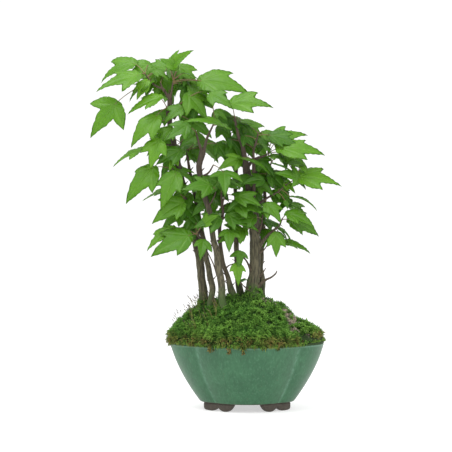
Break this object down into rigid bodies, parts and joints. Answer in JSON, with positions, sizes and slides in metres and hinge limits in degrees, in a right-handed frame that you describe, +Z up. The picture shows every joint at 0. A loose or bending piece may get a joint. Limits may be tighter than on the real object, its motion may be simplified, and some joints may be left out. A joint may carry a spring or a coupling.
{
  "type": "bonsai tree in a pot",
  "caption": "Group-planted trident maple bonsai with slender trunks and three-lobed leaves, rising from a moss mound in a green-glazed four-lobed pot on cloud feet.",
  "frame": {"origin": "on the surface that the feet stand on, under the middle of the whole tree's box; the pot's own centre is 25 mm to +X, because the crown leans to -X", "axes": "+Z up, +X to the right and +Y away as the front of the planting is seen"},
  "size_m": [0.196, 0.1046, 0.2807],
  "materials": {
    "glaze": "satin celadon-green glaze, faintly mottled, with small brown specks",
    "bare_clay": "unglazed dark brown stoneware",
    "screen_plastic": "black moulded mesh",
    "soil": "grainy brown clay granules",
    "moss": "living moss, dense short fronds, bright green with dark hollows",
    "bark": "grey-brown bark with fine upright fissures",
    "leaf": "thin fresh green leaf, soft sheen, paler underside, reddish stalk"
  },
  "bodies": {
    "root": {"pot": "glaze", "foot_front_left": "bare_clay", "foot_front_right": "bare_clay", "foot_back_left": "bare_clay", "foot_back_right": "bare_clay", "drain_screen_left": "screen_plastic", "drain_screen_right": "screen_plastic", "soil": "soil", "moss": "moss", "tree_tall_left": "bark", "tree_slim_left": "bark", "tree_front": "bark", "tree_sapling": "bark", "tree_behind": "bark", "tree_main_right": "bark", "tree_slim_right": "bark", "leaf_01": "leaf", "leaf_02": "leaf", "leaf_03": "leaf", "leaf_04": "leaf", "leaf_05": "leaf", "leaf_06": "leaf", "leaf_07": "leaf", "leaf_08": "leaf", "leaf_09": "leaf", "leaf_10": "leaf", "leaf_11": "leaf", "leaf_12": "leaf", "leaf_13": "leaf", "leaf_14": "leaf", "leaf_15": "leaf", "leaf_16": "leaf", "leaf_17": "leaf", "leaf_18": "leaf", "leaf_19": "leaf", "leaf_20": "leaf", "leaf_21": "leaf", "leaf_22": "leaf", "leaf_23": "leaf", "leaf_24": "leaf", "leaf_25": "leaf", "leaf_26": "leaf", "leaf_27": "leaf", "leaf_28": "leaf", "leaf_29": "leaf", "leaf_30": "leaf", "leaf_31": "leaf", "leaf_32": "leaf", "leaf_33": "leaf", "leaf_34": "leaf", "leaf_35": "leaf", "leaf_36": "leaf", "leaf_37": "leaf", "leaf_38": "leaf", "leaf_39": "leaf", "leaf_40": "leaf", "leaf_41": "leaf", "leaf_42": "leaf", "leaf_43": "leaf"}
  },
  "joints": []
}
